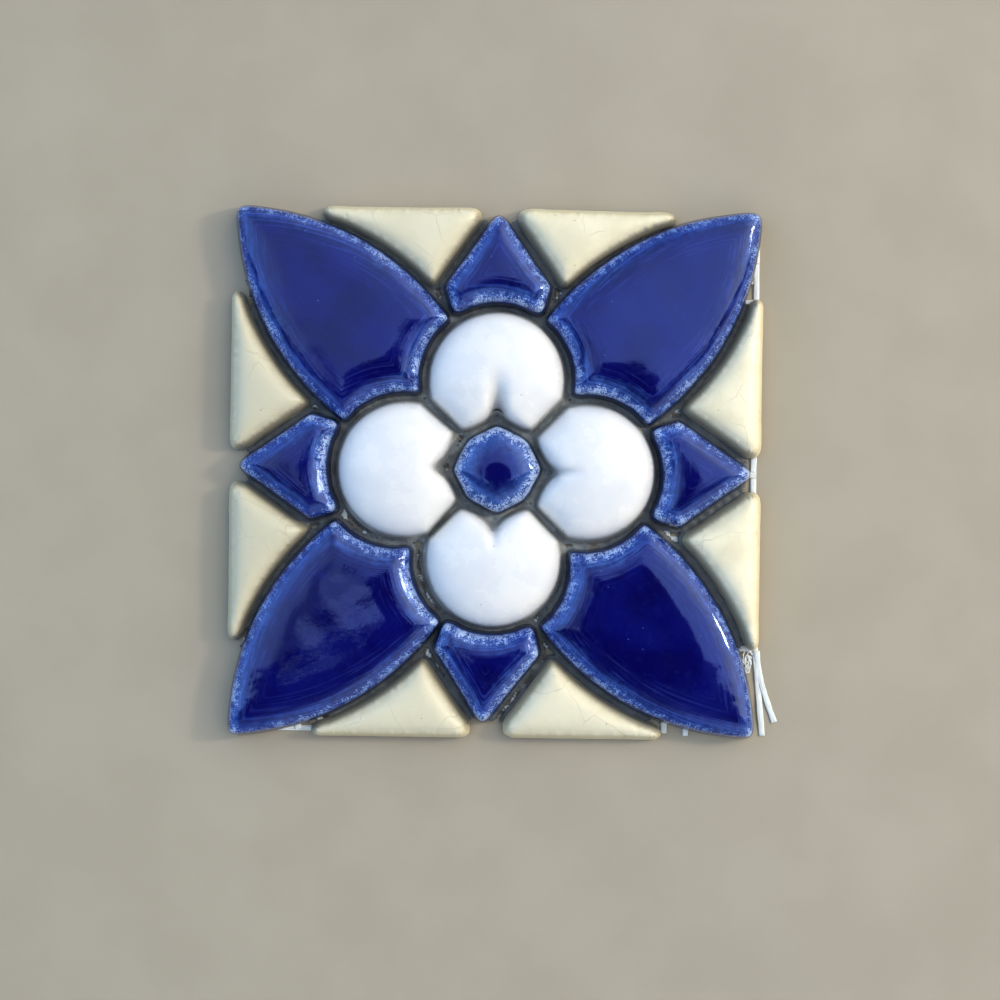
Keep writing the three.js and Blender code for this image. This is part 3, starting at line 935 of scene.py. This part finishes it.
def white_glaze():
    """White glaze, with painted shade in the creases, and greyer at the edges from thin glaze and painted
    shade.
    """
    paint = Glaze("white_glaze")
    place = paint.place
    cloud = paint.noise(place, 0.16, 3.0, 0.55)
    colour = paint.mix(paint.ramp(cloud, 0.3, 0.7), *WHITE["body"])
    fine = paint.noise(place, 2.5, 4.0, 0.65)
    colour = paint.mix(paint.ramp(fine, 0.55, 0.8, 0.0, 0.1), colour, WHITE["mottle"])
    # painted shade on the rounded edge, stronger where the glaze runs thin and greyer
    edge = paint.times(paint.ramp(paint.depth, 1.1, -0.2), paint.ramp(paint.thin, 0.3, 0.9, 0.45, 0.85))
    colour = paint.mix(edge, colour, WHITE["edge"])
    # painted shade in the creases
    valley = paint.times(paint.tone, paint.ramp(fine, 0.25, 0.75, 0.7, 1.0))
    colour = paint.mix(valley, colour, WHITE["valley"])
    holes = paint.pinholes(place, 0.42, 0.2, 0.07)
    colour = paint.mix(paint.times(holes, 0.75), colour, WHITE["pinholes"])
    height = paint.plus(
        paint.times(paint.noise(place, 0.5, 1.0, 0.4), 0.02),
        paint.times(fine, 0.003),
        paint.times(holes, -0.06),
    )
    rough = paint.ramp(cloud, 0.3, 0.7, 0.22, 0.32)
    return paint.fire(colour, rough, height, {"IOR": 1.5}, fine, WHITE["soil"], 0.1)


def cream_glaze():
    """Cream glaze with a few long craze lines, and fainter ones between them."""
    paint = Glaze("cream_glaze")
    place = paint.place
    cloud = paint.noise(place, 0.13, 3.0, 0.55)
    colour = paint.mix(paint.ramp(cloud, 0.3, 0.7), *CREAM["body"])
    fine = paint.noise(place, 3.2, 4.0, 0.7)
    colour = paint.mix(paint.ramp(fine, 0.5, 0.78, 0.0, 0.35), colour, CREAM["mottle"])
    # painted shade: whole cream tiles darker and greyer where less light falls on them
    colour = paint.mix(paint.tone, colour, CREAM["painted tile shade"])
    edge = paint.times(paint.ramp(paint.depth, 1.2, 0.0), 0.5)
    colour = paint.mix(edge, colour, CREAM["edge"])
    bend = paint.noise(place, 0.25, 2.0, 0.5)
    warped = paint.moved(place, paint.times(bend, 3.0), paint.times(bend, -2.4))
    crack = paint.cells(warped, 0.12, "DISTANCE_TO_EDGE")["Distance"]
    long_crack = paint.times(paint.ramp(crack, 0.012, 0.003), paint.ramp(cloud, 0.45, 0.6))
    hair = paint.cells(warped, 0.4, "DISTANCE_TO_EDGE")["Distance"]
    faint = paint.times(paint.ramp(hair, 0.03, 0.01), paint.ramp(bend, 0.54, 0.64, 0.0, 0.25))
    craze = paint.math("MAXIMUM", long_crack, faint)
    colour = paint.mix(paint.times(craze, 0.35), colour, CREAM["craze"])
    holes = paint.pinholes(place, 0.55, 0.28, 0.09)
    colour = paint.mix(paint.times(holes, 0.8), colour, CREAM["pinholes"])
    height = paint.plus(
        paint.times(paint.noise(place, 0.45, 2.0, 0.5), 0.05),
        paint.times(fine, 0.01),
        paint.times(holes, -0.07),
        paint.times(craze, -0.01),
    )
    rough = paint.ramp(fine, 0.3, 0.75, 0.34, 0.5)
    return paint.fire(colour, rough, height, {"IOR": 1.5}, fine, CREAM["soil"], 1.1)


def glass_fibre():
    """Pale threads along each strand, stained here and there."""
    paint = Paint("glass_fibre")
    threads = paint.noise(paint.stretch(paint.stored("strand"), 0.35, 9.0, 0.0), 1.0, 3.0, 0.6)
    stain = paint.noise(paint.position(), 0.5, 3.0, 0.6)
    colour = paint.mix(paint.ramp(threads, 0.3, 0.7), *FIBRE["threads"])
    colour = paint.mix(paint.ramp(stain, 0.55, 0.75, 0.0, 0.5), colour, FIBRE["stain"])
    return paint.finish(colour, paint.ramp(stain, 0.3, 0.7, 0.3, 0.6), paint.times(threads, 0.12))


def dried_glue():
    """Grey glue with earth in it, darker in the outer joints, with painted shade against the tiles."""
    paint = Paint("dried_glue")
    place = paint.position()
    cloud = paint.noise(place, 0.35, 4.0, 0.6)
    colour = paint.mix(paint.ramp(cloud, 0.34, 0.66), *GLUE["body"])
    earth = paint.noise(place, 0.3, 2.0, 0.5)
    colour = paint.mix(paint.ramp(earth, 0.58, 0.72, 0.0, 0.6), colour, GLUE["earth"])
    grain = paint.noise(place, 2.4, 4.0, 0.65)
    colour = paint.mix(paint.ramp(grain, 0.6, 0.78, 0.0, 0.4), colour, GLUE["grain"])
    from_middle = paint.node("VectorMath", {0: place}, operation="LENGTH").outputs["Value"]
    colour = paint.mix(paint.ramp(from_middle, 16.0, 32.0, 0.0, 0.75), colour, GLUE["outer joints"])
    # painted shade in the glue against the tiles' walls
    corner = paint.ramp(paint.stored("gap", "Fac"), 0.4, 0.05)
    colour = paint.mix(paint.times(corner, 0.85), colour, GLUE["corner"])
    rough = paint.ramp(cloud, 0.3, 0.7, 0.35, 0.6)
    look = {"Alpha": paint.ramp(cloud, 0.35, 0.65, 0.85, 0.97)}
    return paint.finish(colour, rough, paint.times(grain, 0.12), look)


def floor_paint():
    paint = Paint("pale_floor")
    grain = paint.noise(paint.position(), 0.05, 3.0, 0.5)
    return paint.finish(paint.mix(paint.ramp(grain, 0.3, 0.7), *FLOOR), 0.8)


# Floor, light and camera
def studio_world():
    """Soft light from a room, with the dark and the bright patches that glossy tiles mirror.

    Near the top, a patch is placed by slopes: how far a direction leans east or north as it rises by 1.
    """
    world = bpy.data.worlds.new("studio")
    bpy.context.scene.world = world
    world.use_nodes = True
    sky = Nodes(world.node_tree)
    direction = sky.node("TexCoord").outputs["Generated"]
    toward_east, toward_north, toward_top = sky.parts(direction)
    above = sky.math("MAXIMUM", toward_top, 0.02)
    slope_east = sky.math("DIVIDE", toward_east, above)
    slope_north = sky.math("DIVIDE", toward_north, above)

    def between(slope, low, low_full, high_full, high):
        """1 between the full slopes, fading to 0 at low and at high."""
        return sky.times(sky.ramp(slope, high, high_full), sky.ramp(slope, low, low_full))

    def window(towards, start, end, level):
        """Extra light about a direction."""
        facing = sky.node("VectorMath", {0: direction, 1: towards}, operation="DOT_PRODUCT")
        return sky.ramp(facing.outputs["Value"], start, end, 0.0, level)

    # a soft dome, brighter to the east and the north, with two windows
    strength = sky.plus(
        sky.ramp(toward_east, -0.1, 0.9, 0.0, 0.35),
        sky.ramp(slope_east, -0.15, 0.15, 0.0, 0.55),
        sky.ramp(toward_north, -0.6, 0.9, 0.0, 0.25),
        window((0.72, 0.2, 0.66), 0.77, 0.96, 1.6),
        window((-0.74, 0.05, 0.67), 0.7, 0.96, 1.1),
        0.5,
    )

    # darker where the camera hangs, in a strip to the south and in a patch to the west
    camera_east, camera_north = 0.03, -0.042
    off_east = sky.math("SUBTRACT", slope_east, camera_east)
    off_north = sky.math("SUBTRACT", slope_north, camera_north)
    off_camera = sky.math("SQRT", sky.plus(sky.times(off_east, off_east), sky.times(off_north, off_north)))
    beside_camera = sky.ramp(off_camera, 0.095, 0.108, 0.02, 1.0)
    beyond_strip = sky.ramp(slope_north, -0.55, -0.22, 0.9, 0.05)
    before_strip = sky.ramp(slope_north, -0.084, -0.068, 0.0, 0.9)
    beside_strip = sky.math("MINIMUM", sky.plus(beyond_strip, before_strip), 1.0)
    west_patch = between(slope_east, -0.17, -0.135, -0.115, -0.095)
    west_patch = sky.times(west_patch, sky.ramp(slope_north, 0.06, 0.01, 0.0, 0.6))
    beside_patch = sky.math("SUBTRACT", 1.0, west_patch)
    strength = sky.times(strength, beside_camera, beside_strip, beside_patch)

    # a small pane, and the thin bright line of its sill
    pane_east = between(slope_east, -0.1, -0.093, -0.057, -0.051)
    pane_north = between(slope_north, -0.073, -0.067, -0.04, -0.034)
    strength = sky.math("MAXIMUM", strength, sky.times(pane_east, pane_north))
    off_sill = sky.scaled(slope_east, -0.3, sky.plus(slope_north, 0.065))
    sill = sky.ramp(sky.math("ABSOLUTE", off_sill), 0.0028, 0.0012, 0.0, 0.8)
    sill = sky.times(sill, between(slope_east, -0.125, -0.11, -0.06, -0.05))
    strength = sky.math("MAXIMUM", strength, sill)

    # cool in the west and warm in the east, and cool overhead
    west_tint, east_tint = (0.66, 1.0, 1.55, 1.0), (1.0, 0.98, 0.94, 1.0)
    top_west_tint, top_tint = (0.92, 1.08, 1.35, 1.0), (0.95, 1.15, 1.85, 1.0)
    tint = sky.mix(sky.ramp(toward_east, -0.5, 0.5), west_tint, east_tint)
    overhead = sky.mix(sky.ramp(slope_east, -0.1, -0.04), top_west_tint, top_tint)
    tint = sky.mix(sky.ramp(toward_top, 0.93, 0.985), tint, overhead)
    background = sky.node("Background", {"Color": tint, "Strength": strength})
    sky.node("OutputWorld", {"Surface": background.outputs[0]})


def key_light():
    """A soft disk of warm light from the east."""
    data = bpy.data.lights.new("key", "AREA")
    data.shape = "DISK"
    data.size = 0.08
    data.energy = 1.3
    data.color = (1.0, 0.95, 0.86)
    made = bpy.data.objects.new("key", data)
    made.location = (0.46, 0.11, 0.36)
    made.rotation_euler = (-made.location).to_track_quat("-Z", "Y").to_euler()
    bpy.context.scene.collection.objects.link(made)


def overhead_camera():
    """Straight above, as the photograph was taken."""
    photo_width = 187.6
    shoulder_plane = 4.3
    distance = 380.0
    off_east, off_north = 0.92, -5.33
    turn = 0.85
    sensor = 36.0
    data = bpy.data.cameras.new("camera")
    data.sensor_width = sensor
    data.lens = sensor * distance / photo_width
    made = bpy.data.objects.new("camera", data)
    made.location = (off_east * MM, off_north * MM, (shoulder_plane + distance) * MM)
    made.rotation_euler = (0.0, 0.0, math.radians(turn))
    bpy.context.scene.collection.objects.link(made)
    bpy.context.scene.camera = made


# The object
glazes = {"cobalt_glaze": cobalt_glaze(), "white_glaze": white_glaze(), "cream_glaze": cream_glaze()}
tile_names = sorted(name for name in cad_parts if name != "fibreglass_net")
drawn_tiles = {name: tile_outline(name) for name in tile_names}
outlines = {name: outline for name, (outline, _) in drawn_tiles.items()}
tile_boxes = np.array([box_of(name) for name in tile_names])
panel = (tile_boxes[:, 0, :2].min(0), tile_boxes[:, 1, :2].max(0))
for name in tile_names:
    tile(name, outlines, panel, drawn_tiles[name][1], glazes)
net(glass_fibre())
glue(outlines, dried_glue())

# The studio
half_side = 20000.0
floor_level = -0.05
corner_signs = ((-1, -1), (1, -1), (1, 1), (-1, 1))
floor_corners = [(x * half_side, y * half_side, floor_level) for x, y in corner_signs]
floor = make_mesh("floor", floor_corners, [(0, 1, 2, 3)], {}, floor_paint())
studio_world()
key_light()
overhead_camera()
bpy.context.scene.view_settings.view_transform = "Standard"
